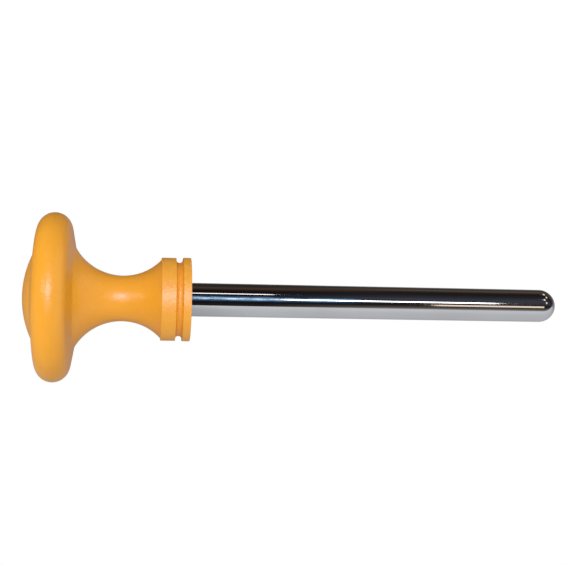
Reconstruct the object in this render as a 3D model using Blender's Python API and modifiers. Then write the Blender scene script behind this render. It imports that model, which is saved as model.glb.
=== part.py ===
"""Palm-knob push tool: a plastic mushroom knob on a round-nosed steel rod.

The tool lies along +X with +Z up. The origin is the centre of the hole that the rod
comes out of, in the plane of the knob's end face: the knob is on the -X side and the
bare rod on the +X side. Every piece is a body of revolution about the X axis, apart
from the knurl on the brass insert.

Stations are signed distances along the tool's axis from the origin, and radii are
measured from that axis. All sizes are in millimetres and are turned into metres by MM.
"""

import math

import bmesh
import bpy
from mathutils import Vector

MM = 0.001
FIT_GAP = 0.3                   # clearance modelled between touching pieces
SEGMENTS = 48                   # faces round a turned piece
MERGE_LIMIT = 1e-6              # metres, joins the seam and the points on the axis
SHARP_ANGLE = math.radians(32)

# Rod
ROD_RADIUS = 5.0
ROD_REACH = 113.4               # bare rod from the knob's end face to the tip
TAIL_RADIUS = 4.0               # M8 threaded tail, as a plain cylinder
TAIL_CHAMFER = 0.6

# Knob: end ring, cord groove, collar
END_RING_RADIUS = 12.45
END_RING_LENGTH = 2.35
GROOVE_WIDTH = 2.0
GROOVE_DEPTH = 1.45
COLLAR_RADIUS = 12.35
COLLAR_END = -8.35              # station where the collar meets the waist
EDGE_ROUND = 0.2

# Knob: concave waist and palm head
NECK_RADIUS = 6.77
WAIST_CENTRE = -20.0            # station of the neck
WAIST_FRONT_ROUND = 15.4        # concave arc from the neck to the collar
WAIST_BACK_ROUND = 15.9         # concave arc from the neck towards the head
UNDERSIDE_FILLET = 4.5          # between that arc and the head's underside
UNDERSIDE_TILT = 10.5           # degrees between the underside and a square face
RIM_CENTRE = -39.8
RIM_RADIUS = 24.93              # palm head, largest radius
RIM_ROUND = 4.9
CREASE_STATION = -45.2          # where the head's flat meets the dome
CREASE_RADIUS = 14.3
DOME_APEX = -48.93

# Hidden hardware in the head
SHOULDER = -32.6                # station of the rod's shoulder
INSERT_RADIUS = 8.0
INSERT_LENGTH = 9.2
INSERT_GROOVE_RADIUS = 7.0
INSERT_GROOVE_WIDTH = 1.4
KNURL_TEETH = 24
KNURL_DEPTH = 0.5
LOCK_RING_RADIUS = 6.2
LOCK_RING_LENGTH = 2.0
PLATE_RADIUS = 10.0
PLATE_THICKNESS = 1.2

INSERT_FRONT = SHOULDER - FIT_GAP
INSERT_BACK = INSERT_FRONT - INSERT_LENGTH
PLATE_FRONT = INSERT_BACK - FIT_GAP
PLATE_BACK = PLATE_FRONT - PLATE_THICKNESS
TAIL_END = INSERT_BACK

# name: (base colour, roughness, metallic)
FINISHES = {
    "orange_plastic": ((0.86, 0.36, 0.035), 0.32, 0.0),
    "chrome": ((0.62, 0.62, 0.63), 0.12, 1.0),
    "brass": ((0.70, 0.52, 0.22), 0.30, 1.0),
    "nylon": ((0.82, 0.81, 0.76), 0.50, 0.0),
    "zinc_steel": ((0.56, 0.57, 0.58), 0.38, 1.0),
}


def clear_scene():
    for thing in list(bpy.data.objects):
        bpy.data.objects.remove(thing, do_unlink=True)


def make_material(name):
    colour, roughness, metallic = FINISHES[name]
    material = bpy.data.materials.new(name)
    material.use_nodes = True
    shader = material.node_tree.nodes["Principled BSDF"]
    shader.inputs["Base Color"].default_value = (*colour, 1.0)
    shader.inputs["Roughness"].default_value = roughness
    shader.inputs["Metallic"].default_value = metallic
    return material


def arc(centre, radius, start, end, count):
    """Points of an arc as (station, radius) pairs; angles in degrees from +station."""
    angles = [math.radians(start + (end - start) * i / count) for i in range(count + 1)]
    return [(centre[0] + radius * math.cos(a), centre[1] + radius * math.sin(a)) for a in angles]


def turned_mesh(name, profile, closed=False):
    """Mesh of one profile edge chain; local Z is the axis and local X the radius."""
    mesh = bpy.data.meshes.new(name)
    work = bmesh.new()
    verts = [work.verts.new((radius * MM, 0.0, station * MM)) for station, radius in profile]
    for first, second in zip(verts, verts[1:]):
        work.edges.new((first, second))
    if closed:
        work.edges.new((verts[-1], verts[0]))
    work.to_mesh(mesh)
    work.free()
    return mesh


def add_turned(name, profile, finish, axis, home, closed=False):
    """Turned piece: the profile swept a full turn by a Screw modifier."""
    piece = bpy.data.objects.new(name, turned_mesh(name, profile, closed))
    home.objects.link(piece)
    piece.parent = axis
    screw = piece.modifiers.new("turn", "SCREW")
    screw.axis = "Z"
    screw.angle = math.tau
    screw.steps = SEGMENTS
    screw.render_steps = SEGMENTS
    screw.use_merge_vertices = True
    screw.merge_threshold = MERGE_LIMIT
    piece.data.materials.append(make_material(finish))
    return piece


def apply_and_smooth(piece):
    """Bake the modifiers into the mesh and shade its round faces smooth."""
    graph = bpy.context.evaluated_depsgraph_get()
    baked = bpy.data.meshes.new_from_object(piece.evaluated_get(graph))
    piece.modifiers.clear()
    piece.data = baked
    baked.shade_smooth()
    baked.set_sharp_from_angle(angle=SHARP_ANGLE)


def collar_profile():
    """End ring, round-bottomed cord groove and collar, from the end face to the waist."""
    end_centre = -EDGE_ROUND
    points = arc((end_centre, END_RING_RADIUS - EDGE_ROUND), EDGE_ROUND, 0, 90, 3)
    points += arc((-END_RING_LENGTH + EDGE_ROUND, END_RING_RADIUS - EDGE_ROUND), EDGE_ROUND, 90, 180, 3)
    groove_round = GROOVE_WIDTH / 2
    groove_centre = (-END_RING_LENGTH - groove_round, COLLAR_RADIUS - GROOVE_DEPTH + groove_round)
    points += arc(groove_centre, groove_round, 0, -180, 8)
    collar_start = -END_RING_LENGTH - GROOVE_WIDTH
    points += arc((collar_start - EDGE_ROUND, COLLAR_RADIUS - EDGE_ROUND), EDGE_ROUND, 0, 90, 3)
    points.append((COLLAR_END, COLLAR_RADIUS))
    return points


def unit(angle):
    """Direction at an angle in degrees, as (station, radius)."""
    return Vector((math.cos(math.radians(angle)), math.sin(math.radians(angle))))


def angle_of(direction):
    return math.degrees(math.atan2(direction.y, direction.x)) % 360


def waist_profile():
    """Concave arc from the collar's edge to the neck."""
    centre = (WAIST_CENTRE, NECK_RADIUS + WAIST_FRONT_ROUND)
    rise = centre[1] - (COLLAR_RADIUS - EDGE_ROUND)
    start = 360 - math.degrees(math.asin(rise / WAIST_FRONT_ROUND))
    return arc(centre, WAIST_FRONT_ROUND, start, 270, 8)


def underside_profile(rim):
    """Concave arc from the neck, then the fillet up to the head's straight underside."""
    waist = Vector((WAIST_CENTRE, NECK_RADIUS + WAIST_BACK_ROUND))
    outward = unit(UNDERSIDE_TILT)
    inward = Vector((outward.y, -outward.x))
    # The fillet rolls along the underside until it touches the waist's arc from inside.
    start = rim + outward * (RIM_ROUND + UNDERSIDE_FILLET)
    across = start - waist
    along = across.dot(inward)
    reach = WAIST_BACK_ROUND - UNDERSIDE_FILLET
    slide = -along + math.sqrt(along ** 2 - across.length_squared + reach ** 2)
    fillet = start + inward * slide
    join = angle_of(fillet - waist)
    points = arc(waist, WAIST_BACK_ROUND, 270, join, 9)
    return points + arc(fillet, UNDERSIDE_FILLET, join, 180 + UNDERSIDE_TILT, 4)[1:]


def head_profile():
    """Underside, rounded rim, flat and spherical dome, ending on the axis."""
    rim = Vector((RIM_CENTRE, RIM_RADIUS - RIM_ROUND))
    crease = Vector((CREASE_STATION, CREASE_RADIUS))
    to_rim = rim - crease
    last = angle_of(to_rim) + math.degrees(math.asin(RIM_ROUND / to_rim.length)) + 90
    points = underside_profile(rim) + arc(rim, RIM_ROUND, UNDERSIDE_TILT, last, 16)
    height = CREASE_STATION - DOME_APEX
    dome_round = (CREASE_RADIUS ** 2 + height ** 2) / (2 * height)
    dome_centre = (DOME_APEX + dome_round, 0.0)
    spread = math.degrees(math.asin(CREASE_RADIUS / dome_round))
    dome = arc(dome_centre, dome_round, 180 - spread, 180, 7)
    dome[-1] = (DOME_APEX, 0.0)
    return points + dome


def pocket_profile():
    """Stepped hole from its floor behind the load plate out to the end face."""
    bore = ROD_RADIUS + FIT_GAP
    insert = INSERT_RADIUS + FIT_GAP
    plate = PLATE_RADIUS + FIT_GAP
    key = INSERT_GROOVE_RADIUS + FIT_GAP
    middle = (INSERT_FRONT + INSERT_BACK) / 2
    half_key = INSERT_GROOVE_WIDTH / 2 - FIT_GAP
    return [
        (PLATE_BACK - FIT_GAP, 0.0),
        (PLATE_BACK - FIT_GAP, plate),
        (INSERT_BACK, plate),
        (INSERT_BACK, insert),
        (middle - half_key, insert),
        (middle - half_key, key),
        (middle + half_key, key),
        (middle + half_key, insert),
        (SHOULDER, insert),
        (SHOULDER, bore),
        (0.0, bore),
    ]


def knob_body(axis, home):
    outline = pocket_profile() + collar_profile() + waist_profile() + head_profile()[1:]
    return add_turned("knob_body", outline, "orange_plastic", axis, home)


def push_rod(axis, home):
    """Plated rod: hemispherical nose, plain shank, shoulder and threaded tail."""
    nose = arc((ROD_REACH - ROD_RADIUS, 0.0), ROD_RADIUS, 0, 90, 9)
    nose[0] = (ROD_REACH, 0.0)
    outline = nose + [
        (SHOULDER, ROD_RADIUS),
        (SHOULDER, TAIL_RADIUS),
        (TAIL_END + TAIL_CHAMFER, TAIL_RADIUS),
        (TAIL_END, TAIL_RADIUS - TAIL_CHAMFER),
        (TAIL_END, 0.0),
    ]
    return add_turned("push_rod", outline, "chrome", axis, home)


def threaded_insert(axis, home):
    """Knurled brass sleeve, M8 inside, with a groove round its middle."""
    middle = (INSERT_FRONT + INSERT_BACK) / 2
    half_groove = INSERT_GROOVE_WIDTH / 2
    bore = TAIL_RADIUS + FIT_GAP
    recess = LOCK_RING_RADIUS + FIT_GAP
    recess_floor = INSERT_BACK + LOCK_RING_LENGTH + FIT_GAP
    outline = [
        (INSERT_FRONT, bore),
        (INSERT_FRONT, INSERT_RADIUS),
        (middle + half_groove, INSERT_RADIUS),
        (middle + half_groove, INSERT_GROOVE_RADIUS),
        (middle - half_groove, INSERT_GROOVE_RADIUS),
        (middle - half_groove, INSERT_RADIUS),
        (INSERT_BACK, INSERT_RADIUS),
        (INSERT_BACK, recess),
        (recess_floor, recess),
        (recess_floor, bore),
    ]
    piece = add_turned("threaded_insert", outline, "brass", axis, home, closed=True)
    apply_and_smooth(piece)
    cut_knurl(piece)
    return piece


def cut_knurl(piece):
    """Press every other line of the insert's outside inwards, which leaves straight teeth."""
    outside = (INSERT_RADIUS - KNURL_DEPTH / 2) * MM
    step = math.tau / (2 * KNURL_TEETH)
    for vertex in piece.data.vertices:
        across = Vector((vertex.co.x, vertex.co.y))
        if across.length < outside:
            continue
        line = round(math.atan2(across.y, across.x) / step)
        if line % 2:
            across.length = (INSERT_RADIUS - KNURL_DEPTH) * MM
            vertex.co.x = across.x
            vertex.co.y = across.y


def lock_ring(axis, home):
    """Nylon ring in the insert's mouth, which grips the rod's thread."""
    inner = TAIL_RADIUS + FIT_GAP
    outline = [
        (INSERT_BACK + LOCK_RING_LENGTH, inner),
        (INSERT_BACK + LOCK_RING_LENGTH, LOCK_RING_RADIUS),
        (INSERT_BACK, LOCK_RING_RADIUS),
        (INSERT_BACK, inner),
    ]
    return add_turned("nylon_lock_ring", outline, "nylon", axis, home, closed=True)


def load_plate(axis, home):
    """Steel disc behind the insert, which spreads the palm's push."""
    outline = [
        (PLATE_FRONT, 0.0),
        (PLATE_FRONT, PLATE_RADIUS),
        (PLATE_BACK, PLATE_RADIUS),
        (PLATE_BACK, 0.0),
    ]
    return add_turned("load_plate", outline, "zinc_steel", axis, home)


def main():
    clear_scene()
    home = bpy.data.collections.new("palm_knob_push_tool")
    bpy.context.scene.collection.children.link(home)
    axis = bpy.data.objects.new("tool_axis", None)
    axis.rotation_euler = (0.0, math.pi / 2, 0.0)
    home.objects.link(axis)
    for build in (knob_body, push_rod, lock_ring, load_plate):
        apply_and_smooth(build(axis, home))
    threaded_insert(axis, home)


main()
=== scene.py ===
"""Looks of the palm-knob push tool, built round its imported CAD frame.

The tool lies along +X with the knob on the -X side. Everything is in metres. The knob
and the rod are finer turned meshes that stand for their CAD nodes; the hidden hardware
keeps its CAD shape and gets its own materials.
"""

import math

import bmesh
import bpy
from mathutils import Matrix, Vector


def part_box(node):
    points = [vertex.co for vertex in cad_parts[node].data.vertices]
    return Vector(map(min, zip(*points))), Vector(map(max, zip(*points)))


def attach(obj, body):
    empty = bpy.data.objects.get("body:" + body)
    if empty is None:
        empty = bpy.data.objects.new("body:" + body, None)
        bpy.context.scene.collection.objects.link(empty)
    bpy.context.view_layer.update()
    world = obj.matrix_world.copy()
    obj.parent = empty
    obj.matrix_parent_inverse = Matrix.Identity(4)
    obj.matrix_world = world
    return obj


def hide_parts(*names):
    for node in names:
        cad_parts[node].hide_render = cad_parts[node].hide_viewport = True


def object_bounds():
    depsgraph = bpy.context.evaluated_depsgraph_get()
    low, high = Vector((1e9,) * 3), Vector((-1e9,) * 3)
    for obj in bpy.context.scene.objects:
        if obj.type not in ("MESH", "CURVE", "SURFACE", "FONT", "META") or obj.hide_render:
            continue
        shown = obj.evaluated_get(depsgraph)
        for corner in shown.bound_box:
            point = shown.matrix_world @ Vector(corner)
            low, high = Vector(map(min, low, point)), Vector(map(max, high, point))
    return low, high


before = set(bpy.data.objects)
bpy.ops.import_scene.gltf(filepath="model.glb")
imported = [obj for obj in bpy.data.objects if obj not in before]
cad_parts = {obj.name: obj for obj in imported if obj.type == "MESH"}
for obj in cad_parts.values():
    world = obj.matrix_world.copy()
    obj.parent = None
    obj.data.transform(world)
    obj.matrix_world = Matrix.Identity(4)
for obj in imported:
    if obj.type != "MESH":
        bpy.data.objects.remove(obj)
cad_low, cad_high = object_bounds()
MM = 0.001

# Camera, measured from the origin of the frame
LENS = 66.8                             # millimetres on a 36 mm sensor
CAMERA_STATION = -13.94 * MM            # where the view is square to the tool's axis
CAMERA_DISTANCE = 314.1 * MM
CAMERA_ELEVATION = math.radians(38)
CAMERA_YAW = math.radians(-7.556)
CAMERA_PITCH = math.radians(1.028)
CAMERA_ROLL = math.radians(-1.035)

# Knob outline (stations along X, radii from the axis)
END_ROUND = 0.20 * MM
END_RING_LENGTH = 2.35 * MM
GROOVE_EDGE = 0.15 * MM
GROOVE_WIDTH = 2.0 * MM
GROOVE_DEPTH = 1.45 * MM
RING_RADIUS = 12.45 * MM
COLLAR_RADIUS = 12.35 * MM
COLLAR_END = -8.35 * MM
COLLAR_EDGE = 0.5 * MM
NECK_RADIUS = 6.77 * MM
WAIST_CENTRE = -20.0 * MM
WAIST_FRONT_ROUND = 15.4 * MM           # collar side of the neck
WAIST_BACK_ROUND = 15.9 * MM            # head side of the neck
UNDERSIDE_FILLET = 4.5 * MM
UNDERSIDE_TILT = 10.5                   # degrees off square to the axis
RIM_CENTRE = -39.8 * MM
RIM_ROUND = 4.9 * MM
CREASE_STATION = -45.2 * MM             # where the dome meets the flat of the head
CREASE_RADIUS = 14.3 * MM
CREASE_FILLET = 1.5 * MM

# Mould parting line, on both sides of the knob
SEAM_ANGLE = CAMERA_ELEVATION + math.radians(3.0)
SEAM_HEIGHT = 0.20 * MM                 # at the rim; less where the knob is slimmer
SEAM_BELOW = 0.10                       # radians over which that fades below the seam
SEAM_ABOVE = 0.50                       # and above it
SEAM_LINES = (0.006, 0.014, 0.025)      # radians from the seam to its close lines

# Rod and the pocket behind it
CLEARANCE = 0.3 * MM
TAIL_RADIUS = 4.0 * MM                  # reduced end, inside the threaded insert
TAIL_CHAMFER = 0.6 * MM

KNOB_SEGMENTS = 160
ROD_SEGMENTS = 128
SHARP_ANGLE = math.radians(40)
AXIS_RADIUS = 1e-9                      # an outline's points nearer than this are on the axis

# Studio
WHITE = (1.0, 1.0, 1.0)
AMBIENT = 0.50                          # share of the light that comes from all round
KEY = 10.7                              # radiance of the frontal softbox
SOFTBOX_DISTANCE = 1.2
STRIP_DISTANCE = 0.9
GLINT_DISTANCE = 1.0
WALL_DISTANCE = 1.4
WINDOW_RISE = 0.22                      # radians from the camera up to the window's middle
WINDOW_FADE = (0.02, 0.34)              # radians from there over which it fades out
FLOOR_DROP = 0.3 * MM
FLOOR_SIZE = 6.0
BEHIND_SHADOW_SPAN = (-0.10, 0.10)              # from front to back, where painted shadow of the tool dims the mirrored floor
KNOB_SHADOW_SPAN = (-0.010, 0.020)       # along X, painted shadow of the knob on the mirrored floor, lifting towards the rod
STUDIO_RADIUS = 3.2
ROOM_RADIUS = 0.9 * STUDIO_RADIUS
ROOM_CHANGES = (0.35, 0.75)             # along X, where the left walls give way to the right


# ---------------------------------------------------------------- shapes

def arc(centre, radius, start, end, count):
    """(station, radius) points of an arc in count steps, angles in degrees from +X."""
    turns = [math.radians(start + (end - start) * i / count) for i in range(count + 1)]
    return [(centre[0] + radius * math.cos(t), centre[1] + radius * math.sin(t)) for t in turns]


def evenly(start, end, count):
    """Points of a straight stretch in count steps, without its two ends."""
    return [
        (start[0] + (end[0] - start[0]) * i / count, start[1] + (end[1] - start[1]) * i / count)
        for i in range(1, count)
    ]


def unit(angle):
    """Direction at an angle in degrees from +X."""
    return Vector((math.cos(math.radians(angle)), math.sin(math.radians(angle))))


def angle_of(vector):
    """Angle of a direction, in degrees from +X."""
    return math.degrees(math.atan2(vector.y, vector.x)) % 360


def underside_fillet(rim):
    """Centres of the waist's head side and of the fillet from it to the underside."""
    away = unit(UNDERSIDE_TILT)
    waist = Vector((WAIST_CENTRE, NECK_RADIUS + WAIST_BACK_ROUND))
    inward = Vector((away.y, -away.x))
    start = rim + away * (RIM_ROUND + UNDERSIDE_FILLET)
    reach = WAIST_BACK_ROUND - UNDERSIDE_FILLET
    across = start - waist
    along = across.dot(inward)
    slide = -along + math.sqrt(along ** 2 - across.length_squared + reach ** 2)
    return waist, start + inward * slide


def head_outline(rim_radius):
    """Waist's head side, underside and rim, then the crease and the way from it to the rim."""
    rim = Vector((RIM_CENTRE, rim_radius - RIM_ROUND))
    waist, fillet = underside_fillet(rim)
    join = angle_of(fillet - waist)
    points = arc(waist, WAIST_BACK_ROUND, 270, join, 44)[1:]
    points += arc(fillet, UNDERSIDE_FILLET, join, 180 + UNDERSIDE_TILT, 14)[1:]
    rim_start = tuple(rim + unit(UNDERSIDE_TILT) * RIM_ROUND)
    points += evenly(points[-1], rim_start, 8)
    crease = Vector((CREASE_STATION, CREASE_RADIUS))
    to_rim = rim - crease
    lean = angle_of(to_rim) + math.degrees(math.asin(RIM_ROUND / to_rim.length))
    points += arc(rim, RIM_ROUND, UNDERSIDE_TILT, lean + 90, 52)
    return points, crease, unit(lean)


def dome_outline(crease, rim_side, apex):
    """Filleted crease, then a spherical cap to the axis."""
    height = CREASE_STATION - apex
    ball = (CREASE_RADIUS ** 2 + height ** 2) / (2 * height)
    centre = Vector((apex + ball, 0.0))
    edge = angle_of(crease - centre)
    dome_side = unit(edge + 90)
    turn = math.acos(-rim_side.dot(dome_side))
    reach = CREASE_FILLET * math.tan(turn / 2)
    middle = crease + rim_side * reach + unit(angle_of(rim_side) + 90) * CREASE_FILLET
    first = angle_of(crease + rim_side * reach - middle)
    points = arc(middle, CREASE_FILLET, first, first + math.degrees(turn), 8)
    spread = math.degrees(reach / ball)
    points += arc(centre, ball, edge + spread, 180, 28)[1:-1]
    return points + [(apex, 0.0)]


def knob_outline(apex, rim_radius):
    """Outer side of the knob, from its end face to the top of the dome."""
    points = arc((-END_ROUND, RING_RADIUS - END_ROUND), END_ROUND, 0, 90, 6)
    edge = (-END_RING_LENGTH + GROOVE_EDGE, RING_RADIUS - GROOVE_EDGE)
    points += arc(edge, GROOVE_EDGE, 90, 180, 6)
    half = GROOVE_WIDTH / 2
    points += arc((-END_RING_LENGTH - half, COLLAR_RADIUS - GROOVE_DEPTH + half), half, 0, -180, 20)
    start = -END_RING_LENGTH - GROOVE_WIDTH - GROOVE_EDGE
    points += arc((start, COLLAR_RADIUS - GROOVE_EDGE), GROOVE_EDGE, 0, 90, 6)
    points += evenly((start, COLLAR_RADIUS), (COLLAR_END, COLLAR_RADIUS), 6)
    points += arc((COLLAR_END, COLLAR_RADIUS - COLLAR_EDGE), COLLAR_EDGE, 90, 135, 6)
    waist = (WAIST_CENTRE, NECK_RADIUS + WAIST_FRONT_ROUND)
    rise = math.degrees(math.asin((waist[1] - points[-1][1]) / WAIST_FRONT_ROUND))
    points += arc(waist, WAIST_FRONT_ROUND, 360 - rise, 270, 36)[1:]
    head, crease, rim_side = head_outline(rim_radius)
    return points + head + dome_outline(crease, rim_side, apex)


def lathe(name, outline, turns, swell=None):
    """Closed turned mesh about X; outline runs from the axis back to the axis.

    turns are the angles of its lines, and swell(station, radius, turn) gives how far a
    point stands out from its radius.
    """
    mesh = bpy.data.meshes.new(name)
    work = bmesh.new()
    rings = []
    for station, radius in outline:
        if radius < AXIS_RADIUS:
            rings.append([work.verts.new((station, 0.0, 0.0))])
            continue
        ring = []
        for turn in turns:
            out = radius + (swell(station, radius, turn) if swell else 0.0)
            ring.append(work.verts.new((station, -out * math.cos(turn), out * math.sin(turn))))
        rings.append(ring)
    for first, second in zip(rings, rings[1:]):
        for i in range(len(turns)):
            j = (i + 1) % len(turns)
            corners = [first[i % len(first)], first[j % len(first)]]
            corners += [second[j % len(second)], second[i % len(second)]]
            work.faces.new(list(dict.fromkeys(corners)))
    bmesh.ops.recalc_face_normals(work, faces=work.faces)
    work.to_mesh(mesh)
    work.free()
    mesh.shade_smooth()
    mesh.set_sharp_from_angle(angle=SHARP_ANGLE)
    piece = bpy.data.objects.new(name, mesh)
    bpy.context.scene.collection.objects.link(piece)
    return piece


def seam_swell(station, radius, turn):
    """Low ridge at the mould's parting line, on two opposite sides of the knob."""
    across = math.remainder(turn - SEAM_ANGLE, math.pi)
    fade = SEAM_BELOW if across < 0.0 else SEAM_ABOVE
    return SEAM_HEIGHT * (radius / cad_high.z) ** 2 * math.exp(-abs(across) / fade)


def knob_turns():
    """Angles of the knob's lines: even ones, and close ones at the two seams."""
    step = math.tau / KNOB_SEGMENTS
    turns = [SEAM_ANGLE + i * step for i in range(KNOB_SEGMENTS)]
    for seam in (SEAM_ANGLE, SEAM_ANGLE + math.pi):
        turns += [seam + shift for shift in SEAM_LINES]
        turns += [seam - shift for shift in SEAM_LINES]
    return sorted(turn % math.tau for turn in turns)


def pocket_outline(bore, depth, floor, room):
    """Hole for the rod, and the pocket behind it that holds the hidden hardware."""
    return [(floor, 0.0), (floor, room), (depth, room), (depth, bore), (0.0, bore)]


def make_knob():
    """Knob with a rod hole and a pocket, both clear of the pieces that sit in them."""
    low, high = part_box("knob_body")
    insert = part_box("threaded_insert")[1]
    plate_low, plate_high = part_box("load_plate")
    inner = pocket_outline(
        bore=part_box("push_rod")[1].z + CLEARANCE,
        depth=insert.x + CLEARANCE,
        floor=plate_low.x - CLEARANCE,
        room=max(insert.z, plate_high.z) + CLEARANCE,
    )
    outline = inner + knob_outline(low.x, high.z)
    return lathe("knob_moulding", outline, knob_turns(), seam_swell)


def make_rod():
    """Rod with a hemispherical nose, a shoulder and a reduced tail."""
    low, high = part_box("push_rod")
    radius = high.z
    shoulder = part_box("threaded_insert")[1].x + CLEARANCE
    nose = arc((high.x - radius, 0.0), radius, 0, 90, 28)
    nose[0] = (high.x, 0.0)
    shank = evenly(nose[-1], (shoulder, radius), 40)
    tail = [
        (shoulder, radius),
        (shoulder, TAIL_RADIUS),
        (low.x + TAIL_CHAMFER, TAIL_RADIUS),
        (low.x, TAIL_RADIUS - TAIL_CHAMFER),
        (low.x, 0.0),
    ]
    turns = [math.tau * i / ROD_SEGMENTS for i in range(ROD_SEGMENTS)]
    return lathe("plated_rod", nose + shank + tail, turns)


# ---------------------------------------------------------------- materials

class Nodes:
    """Short way to build a material's node tree."""

    def __init__(self, name):
        self.material = bpy.data.materials.new(name)
        self.material.use_nodes = True
        self.tree = self.material.node_tree
        self.shader = self.tree.nodes["Principled BSDF"]
        self.place = self.add("ShaderNodeTexCoord").outputs["Object"]

    def add(self, kind, **settings):
        """New node of a kind, with its settings."""
        node = self.tree.nodes.new(kind)
        for key, value in settings.items():
            setattr(node, key, value)
        return node

    def link(self, source, target):
        self.tree.links.new(source, target)

    def noise(self, scale, detail=2.0, roughness=0.5, stretch=(1, 1, 1)):
        """Noise with scale cells to the metre; stretch multiplies that on each axis."""
        mapping = self.add("ShaderNodeMapping")
        mapping.inputs["Scale"].default_value = stretch
        self.link(self.place, mapping.inputs["Vector"])
        noise = self.add("ShaderNodeTexNoise")
        noise.inputs["Scale"].default_value = scale
        noise.inputs["Detail"].default_value = detail
        noise.inputs["Roughness"].default_value = roughness
        self.link(mapping.outputs["Vector"], noise.inputs["Vector"])
        return noise.outputs["Fac"]

    def math(self, operation, value, other=None):
        """One step of arithmetic; other is a number or another output."""
        node = self.add("ShaderNodeMath", operation=operation)
        self.link(value, node.inputs[0])
        if isinstance(other, (int, float)):
            node.inputs[1].default_value = other
        elif other is not None:
            self.link(other, node.inputs[1])
        return node.outputs[0]

    def position(self):
        """The object's own metres, as outputs X, Y and Z."""
        parts = self.add("ShaderNodeSeparateXYZ")
        self.link(self.place, parts.inputs["Vector"])
        return parts.outputs

    def rise(self):
        """Angle about the tool's axis, in radians: 0 in front, half pi straight above."""
        position = self.position()
        front = self.math("MULTIPLY", position["Y"], -1.0)
        return self.math("ARCTAN2", position["Z"], front)

    def ranged(self, value, low, high, start=0.3, end=0.7):
        """Spreads start..end over low..high; noise lies mostly between 0.3 and 0.7."""
        node = self.add("ShaderNodeMapRange")
        node.inputs["From Min"].default_value = start
        node.inputs["From Max"].default_value = end
        node.inputs["To Min"].default_value = low
        node.inputs["To Max"].default_value = high
        self.link(value, node.inputs["Value"])
        return node.outputs["Result"]

    def mixed(self, factor, first, second):
        """Colour between two, first at factor 0."""
        node = self.add("ShaderNodeMix", data_type="RGBA")
        self.link(factor, node.inputs["Factor"])
        node.inputs["A"].default_value = (*first, 1.0)
        node.inputs["B"].default_value = (*second, 1.0)
        return node.outputs["Result"]

    def ramp(self, value, stops):
        """Colour over a value, with (position, colour) stops."""
        node = self.add("ShaderNodeValToRGB")
        elements = node.color_ramp.elements
        while len(elements) < len(stops):
            elements.new(0.5)
        for element, (position, colour) in zip(elements, stops):
            element.position = position
            element.color = (*colour, 1.0)
        self.link(value, node.inputs["Fac"])
        return node.outputs["Color"]

    def bump(self, height, distance, strength=1.0, under=None):
        """Bump of a depth in metres, on top of the one under it."""
        node = self.add("ShaderNodeBump")
        node.inputs["Strength"].default_value = strength
        node.inputs["Distance"].default_value = distance
        self.link(height, node.inputs["Height"])
        if under is not None:
            self.link(under, node.inputs["Normal"])
        return node.outputs["Normal"]

    def feed(self, **outputs):
        """Links outputs to the shader's sockets."""
        for key, output in outputs.items():
            self.link(output, self.shader.inputs[key.replace("_", " ")])

    def set(self, **values):
        """Sets the shader's sockets that are the same all over."""
        for key, value in values.items():
            self.shader.inputs[key.replace("_", " ")].default_value = value

    def glow(self):
        """Leaves the material only its emission, which lights nothing by itself."""
        self.set(Base_Color=(0.0, 0.0, 0.0, 1.0), Roughness=1.0, Specular_IOR_Level=0.0)
        self.material.cycles.emission_sampling = "NONE"
        return self.material


def orange_plastic():
    """Glossy moulding; the collar is coarser and rougher than the rest."""
    nodes = Nodes("orange_plastic")
    blotch = nodes.ranged(nodes.noise(90.0, 3.0), 0.0, 1.0)
    collar = nodes.ranged(nodes.position()["X"], 0.0, 1.0, COLLAR_END - 3.0 * MM, COLLAR_END)
    fine = nodes.ranged(nodes.noise(420.0, 4.0), 0.28, 0.37)
    peel = nodes.bump(nodes.noise(1000.0), 0.14 * MM)
    nodes.link(nodes.ranged(collar, 0.55, 1.0, 0.0, 1.0), peel.node.inputs["Strength"])
    lines = nodes.noise(1500.0, 1.0, stretch=(3.0, 0.05, 0.05))
    nodes.feed(
        Base_Color=nodes.mixed(blotch, (0.78, 0.330, 0.020), (0.82, 0.352, 0.025)),
        Roughness=nodes.math("ADD", nodes.math("MULTIPLY", collar, 0.12), fine),
        Specular_IOR_Level=nodes.ranged(collar, 0.50, 0.78, 0.0, 1.0),
        Normal=nodes.bump(lines, 0.02 * MM, 0.6, peel),
    )
    nodes.set(IOR=1.49)
    return nodes.material


def chrome():
    """Bright plating: faint clouds, marks round the rod from its grinding, and specks."""
    nodes = Nodes("chrome")
    cloud = nodes.ranged(nodes.noise(60.0, 3.0), 0.0, 1.0)
    smears = nodes.noise(300.0, 5.0, stretch=(3.0, 0.6, 0.6))
    marks = nodes.noise(1600.0, stretch=(4.0, 0.06, 0.06))
    grind = nodes.bump(marks, 0.002 * MM, 0.4)
    nodes.feed(
        Base_Color=nodes.mixed(cloud, (0.56, 0.56, 0.57), (0.60, 0.60, 0.61)),
        Roughness=nodes.ranged(smears, 0.03, 0.07),
        Normal=nodes.bump(nodes.noise(1400.0), 0.002 * MM, 0.4, grind),
    )
    nodes.set(Metallic=1.0)
    return nodes.material


def plain_metal(name, dark, light, roughness):
    """Turned metal of the hidden hardware: two close tones and fine marks."""
    nodes = Nodes(name)
    tone = nodes.ranged(nodes.noise(400.0, 4.0), 0.0, 1.0)
    marks = nodes.noise(2500.0, stretch=(2.0, 0.2, 0.2))
    nodes.feed(
        Base_Color=nodes.mixed(tone, dark, light),
        Roughness=nodes.ranged(nodes.noise(900.0, 3.0), roughness - 0.06, roughness + 0.06),
        Normal=nodes.bump(marks, 0.02 * MM, 0.5),
    )
    nodes.set(Metallic=1.0)
    return nodes.material


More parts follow.
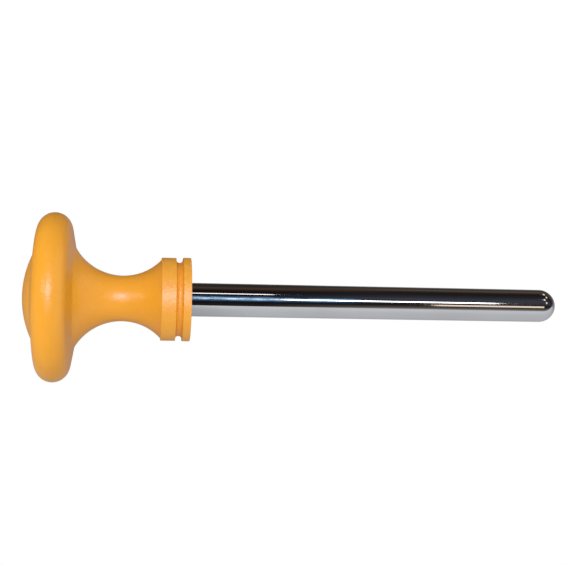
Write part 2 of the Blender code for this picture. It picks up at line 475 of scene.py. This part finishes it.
def nylon():
    """Off-white lock ring, matt and slightly mottled."""
    nodes = Nodes("nylon")
    tone = nodes.ranged(nodes.noise(300.0, 3.0), 0.0, 1.0)
    nodes.feed(
        Base_Color=nodes.mixed(tone, (0.76, 0.75, 0.69), (0.83, 0.82, 0.77)),
        Roughness=nodes.ranged(nodes.noise(800.0, 3.0), 0.42, 0.56),
        Normal=nodes.bump(nodes.noise(2000.0), 0.03 * MM, 0.4),
    )
    return nodes.material


def paint(piece, material):
    """Gives a piece one material all over."""
    piece.data.materials.clear()
    piece.data.materials.append(material)


# ---------------------------------------------------------------- studio

def around_axis(angle, distance, station):
    """Point at an angle in radians about the tool's axis: 0 is the front, half pi is up."""
    return Vector((station, -distance * math.cos(angle), distance * math.sin(angle)))


def make_camera():
    """Camera above the front, turned a little from square to the tool."""
    turn_up = Matrix.Rotation(-CAMERA_ELEVATION, 4, "X")
    aim = Matrix.Rotation(CAMERA_YAW, 4, "Z") @ Matrix.Rotation(CAMERA_PITCH, 4, "X")
    aim = aim @ Matrix.Rotation(CAMERA_ROLL, 4, "Y") @ Matrix.Rotation(math.pi / 2, 4, "X")
    camera = bpy.data.objects.new("camera", bpy.data.cameras.new("camera"))
    camera.data.lens = LENS
    camera.data.sensor_width = 36.0
    camera.data.clip_start = 0.01
    place = Matrix.Translation(around_axis(CAMERA_ELEVATION, CAMERA_DISTANCE, CAMERA_STATION))
    camera.matrix_world = place @ turn_up @ aim
    bpy.context.scene.collection.objects.link(camera)
    bpy.context.scene.camera = camera


def facing(above, lean, distance):
    """Placement that faces the origin, degrees above the camera and leaning to +X."""
    turn = math.radians(lean)
    middle = around_axis(0.0, distance * math.cos(turn), distance * math.sin(turn))
    return (
        Matrix.Rotation(-CAMERA_ELEVATION - math.radians(above), 4, "X")
        @ Matrix.Translation(middle)
        @ Matrix.Rotation(turn, 4, "Z")
        @ Matrix.Rotation(math.pi / 2, 4, "X")
    )


def light_only(source, piece):
    """Keeps the light and the reflection of a lamp or card to one piece."""
    lit = bpy.data.collections.new(source.name + "_lights")
    lit.objects.link(piece)
    source.light_linking.receiver_collection = lit


def add_light(name, placement, size, radiance, colour=WHITE, piece=None, **seen):
    """Area lamp with a face of this radiance, its size along X and then up.

    piece is the only one that it lights, and seen holds the lamp's own switches, such as
    visible_glossy=False.
    """
    length, height = size
    light = bpy.data.lights.new(name, "AREA")
    light.shape = "RECTANGLE"
    light.size = length
    light.size_y = height
    light.color = colour
    light.energy = radiance * length * height * math.pi
    lamp = bpy.data.objects.new(name, light)
    lamp.matrix_world = placement
    bpy.context.scene.collection.objects.link(lamp)
    for switch, value in seen.items():
        setattr(lamp, switch, value)
    if piece is not None:
        light_only(lamp, piece)


def seen_by(item, camera=False, glossy=False):
    """Which rays meet a part of the studio; none of them takes light from the tool."""
    item.visible_camera = camera
    item.visible_glossy = glossy
    item.visible_diffuse = False
    item.visible_transmission = False
    item.visible_shadow = False


def add_card(name, placement, size, material, piece):
    """Glowing card, a painted reflection that only one piece's reflections show."""
    bpy.ops.mesh.primitive_plane_add(size=1.0)
    card = bpy.context.active_object
    card.name = name
    card.data.transform(placement @ Matrix.Diagonal((*size, 1.0, 1.0)))
    card.data.materials.append(material)
    seen_by(card, glossy=True)
    light_only(card, piece)


def add_plane(name, material):
    """Wide floor just under the tool."""
    bpy.ops.mesh.primitive_plane_add(size=FLOOR_SIZE, location=(0.0, 0.0, cad_low.z - FLOOR_DROP))
    plane = bpy.context.active_object
    plane.name = name
    plane.data.materials.append(material)
    return plane


def add_sphere(name, radius, material):
    """Shell right round the tool."""
    bpy.ops.mesh.primitive_uv_sphere_add(segments=64, ring_count=32, radius=radius)
    sphere = bpy.context.active_object
    sphere.name = name
    sphere.data.shade_smooth()
    sphere.data.materials.append(material)
    return sphere


def even_glow(name, colour):
    """The same glow all over."""
    nodes = Nodes(name)
    nodes.set(Emission_Color=(*colour, 1.0), Emission_Strength=1.0)
    return nodes.glow()


def room_material():
    """Painted reflection of a dark room round the tool: brown and navy walls, different on the two
    sides.

    The stops run from the front (0) over the top (0.5) to the back (1).
    """
    nodes = Nodes("painted_room_reflection")
    turn = nodes.ranged(nodes.rise(), 0.0, 1.0, 0.0, math.pi)
    left = nodes.ramp(turn, [
        (0.00, (0.030, 0.022, 0.018)),
        (0.15, (0.012, 0.011, 0.014)),
        (0.40, (0.014, 0.015, 0.024)),
        (0.57, (0.010, 0.008, 0.008)),
        (0.63, (0.022, 0.014, 0.010)),
        (0.70, (0.085, 0.052, 0.038)),
        (0.74, (0.100, 0.066, 0.050)),
        (0.82, (0.045, 0.034, 0.028)),
        (1.00, (0.026, 0.024, 0.022)),
    ])
    right = nodes.ramp(turn, [
        (0.00, (0.440, 0.480, 0.500)),
        (0.03, (0.240, 0.250, 0.250)),
        (0.06, (0.130, 0.100, 0.075)),
        (0.10, (0.090, 0.064, 0.046)),
        (0.15, (0.014, 0.012, 0.014)),
        (0.38, (0.078, 0.076, 0.096)),
        (0.47, (0.040, 0.044, 0.058)),
        (0.57, (0.024, 0.022, 0.026)),
        (0.67, (0.020, 0.015, 0.014)),
        (0.74, (0.042, 0.030, 0.023)),
        (0.81, (0.125, 0.094, 0.070)),
        (0.87, (0.110, 0.085, 0.065)),
        (0.93, (0.050, 0.040, 0.032)),
        (1.00, (0.036, 0.033, 0.030)),
    ])
    walls = nodes.add("ShaderNodeMix", data_type="RGBA")
    to_right = nodes.ranged(nodes.position()["X"], 0.0, 1.0, *ROOM_CHANGES)
    nodes.link(to_right, walls.inputs["Factor"])
    nodes.link(left, walls.inputs["A"])
    nodes.link(right, walls.inputs["B"])
    nodes.feed(
        Emission_Color=walls.outputs["Result"],
        Emission_Strength=nodes.ranged(nodes.noise(1.5), 0.85, 1.15),
    )
    return nodes.glow()


def table_material():
    """Painted reflection of the floor for polished pieces: pale in front of the tool, painted
    shadow behind it and under the knob.
    """
    nodes = Nodes("painted_floor_reflection")
    position = nodes.position()
    # painted shadow of the tool, dimming the mirrored floor behind it
    depth = nodes.ranged(position["Y"], 0.0, 1.0, *BEHIND_SHADOW_SPAN)
    nodes.feed(
        Emission_Color=nodes.ramp(depth, [
            (0.00, (1.02, 1.03, 1.05)),
            (0.45, (0.82, 0.84, 0.88)),
            (0.62, (0.45, 0.46, 0.48)),
            (1.00, (0.20, 0.20, 0.21)),
        ]),
        # painted shadow of the knob: the mirrored floor is dimmer under it, towards -X
        Emission_Strength=nodes.ranged(position["X"], 0.50, 0.84, *KNOB_SHADOW_SPAN),
    )
    return nodes.glow()


def window_material():
    """Painted reflection of a window: daylight broken up by foliage, blue-white patches, fine along
    X and tall.
    """
    nodes = Nodes("painted_window_reflection")
    foliage = nodes.noise(90.0, 4.0, 0.65, stretch=(1.0, 0.03, 0.03))
    patches = nodes.ranged(foliage, 0.0, 1.0, 0.40, 0.56)
    middle = CAMERA_ELEVATION + WINDOW_RISE
    off = nodes.math("ABSOLUTE", nodes.math("SUBTRACT", nodes.rise(), middle))
    faded = nodes.math("MULTIPLY", patches, nodes.ranged(off, 1.0, 0.0, *WINDOW_FADE))
    nodes.feed(
        Emission_Color=nodes.ramp(faded, [
            (0.00, (0.012, 0.024, 0.055)),
            (0.30, (0.060, 0.140, 0.280)),
            (0.60, (0.450, 0.750, 1.050)),
            (1.00, (1.500, 1.900, 2.200)),
        ]),
        Emission_Strength=nodes.ranged(nodes.noise(3.0), 0.9, 1.1),
    )
    return nodes.glow()


def make_studio():
    """Pale floor and backdrop, and painted reflections of the floor and of a dark room, which only
    reflections show.
    """
    white = even_glow("studio_white", WHITE)
    seen_by(add_plane("floor", white), camera=True)
    seen_by(add_sphere("backdrop", STUDIO_RADIUS, white), camera=True)
    seen_by(add_plane("painted_floor_reflection", table_material()), glossy=True)
    seen_by(add_sphere("room", ROOM_RADIUS, room_material()), glossy=True)


def make_world():
    """Even light from all round, for rough surfaces only."""
    world = bpy.data.worlds.new("room")
    bpy.context.scene.world = world
    world.use_nodes = True
    background = world.node_tree.nodes["Background"]
    background.inputs["Color"].default_value = (*WHITE, 1.0)
    background.inputs["Strength"].default_value = AMBIENT
    world.cycles_visibility.camera = False
    world.cycles_visibility.glossy = False


def light_knob(knob):
    """Softboxes that shade the knob; the key's reflection is a tinted sheen of its own."""
    def place(above, lean):
        return facing(above, lean, SOFTBOX_DISTANCE)

    soft = {"piece": knob, "visible_glossy": False}
    add_light("key_softbox", place(6.0, -1.0), (0.5, 0.5), KEY, **soft)
    add_light("key_sheen", place(9.0, -1.0), (0.5, 0.6), 12.0, (0.80, 0.58, 1.0),
              knob, visible_diffuse=False)
    add_light("left_softbox", place(13.0, -34.0), (0.16, 0.22), 14.0, piece=knob)
    add_light("left_fill", place(5.0, -75.0), (0.5, 0.5), 5.0, **soft)
    add_light("right_fill", place(0.0, 80.0), (0.5, 0.5), 1.3, (1.0, 0.95, 0.9), **soft)
    add_light("floor_bounce", place(-108.0, -5.0), (0.8, 0.5), 1.2, **soft)


def add_strips():
    """Narrow lamps that draw the long streaks on the rod."""
    def place(above, lean):
        return facing(above, lean, STRIP_DISTANCE)

    add_light("ceiling_strip", place(46.0, 2.5), (0.19, 0.07), 2.8, (1.0, 0.93, 0.88))
    add_light("flash_strip", place(11.5, 17.0), (0.24, 0.11), 5.0, (0.95, 0.98, 1.0))
    add_light("warm_strip", place(-9.0, 25.0), (0.15, 0.15), 1.4, (1.0, 0.82, 0.66))


def light_rod(rod):
    """What only the rod mirrors: small flecks at its nose, and a painted reflection of a window
    along it.
    """
    for above, lean in ((93.0, 33.0), (74.0, 45.0), (46.0, 33.0), (24.0, 45.0)):
        place = facing(above, lean, GLINT_DISTANCE)
        add_light("nose_glint", place, (0.14, 0.18), 1.5, (1.0, 0.85, 0.65), rod)
    place = facing(12.0, 8.0, WALL_DISTANCE)
    add_card("window", place, (0.30, 1.00), window_material(), rod)


def light_knob_sides(knob):
    """What only the knob mirrors: a wall on the rod's side, and a painted reflection of paler floor
    behind it.
    """
    wall = facing(0.0, 78.0, WALL_DISTANCE)
    add_light("side_wall", wall, (1.6, 3.0), 0.75, (0.90, 0.92, 1.0), knob, visible_diffuse=False)
    behind = Matrix.Translation((0.01, 0.08, cad_low.z))
    # painted reflection of paler floor behind the knob
    pale = even_glow("painted_floor_behind", (0.4, 0.4, 0.42))
    add_card("painted_floor_behind", behind, (0.08, 0.12), pale, knob)


def main():
    bpy.context.scene.view_settings.view_transform = "Standard"
    make_camera()
    knob = make_knob()
    rod = make_rod()
    brass = plain_metal("brass", (0.62, 0.44, 0.17), (0.72, 0.54, 0.24), 0.30)
    zinc_steel = plain_metal("zinc_steel", (0.50, 0.51, 0.52), (0.60, 0.61, 0.62), 0.38)
    paint(knob, orange_plastic())
    paint(rod, chrome())
    paint(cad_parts["threaded_insert"], brass)
    paint(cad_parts["load_plate"], zinc_steel)
    paint(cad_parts["nylon_lock_ring"], nylon())
    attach(knob, "root")
    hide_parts("knob_body")
    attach(rod, "root")
    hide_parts("push_rod")
    make_studio()
    make_world()
    light_knob(knob)
    add_strips()
    light_rod(rod)
    light_knob_sides(knob)


main()
